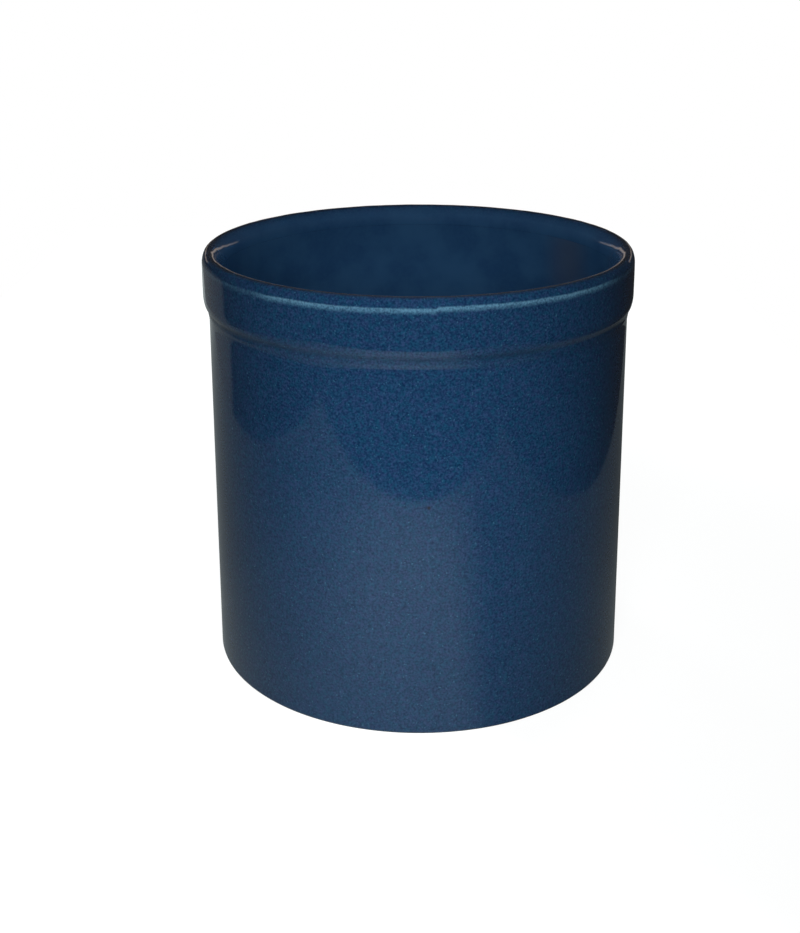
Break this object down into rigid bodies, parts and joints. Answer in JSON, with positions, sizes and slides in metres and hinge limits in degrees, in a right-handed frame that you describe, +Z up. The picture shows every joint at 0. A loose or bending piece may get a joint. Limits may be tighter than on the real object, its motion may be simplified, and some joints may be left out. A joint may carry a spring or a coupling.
{
  "type": "crock",
  "caption": "Open straight-walled stoneware crock with a thick collared rim, a flecked deep blue glaze outside, a darker blue liner glaze inside and a bare foot ring.",
  "frame": {"origin": "centre of the foot ring, on the surface the crock stands on", "axes": "+Z up along the axis the crock is turned about; it is round, so +X and +Y are free; -Y faces the viewer of the picture"},
  "size_m": [0.1848, 0.1848, 0.182],
  "materials": {
    "bare_clay": "matt",
    "blue_glaze": "gloss, finely flecked",
    "liner_blue": "gloss"
  },
  "bodies": {
    "root": {"stoneware_body": "bare_clay", "outer_glaze": "blue_glaze", "liner_glaze": "liner_blue"}
  },
  "joints": []
}
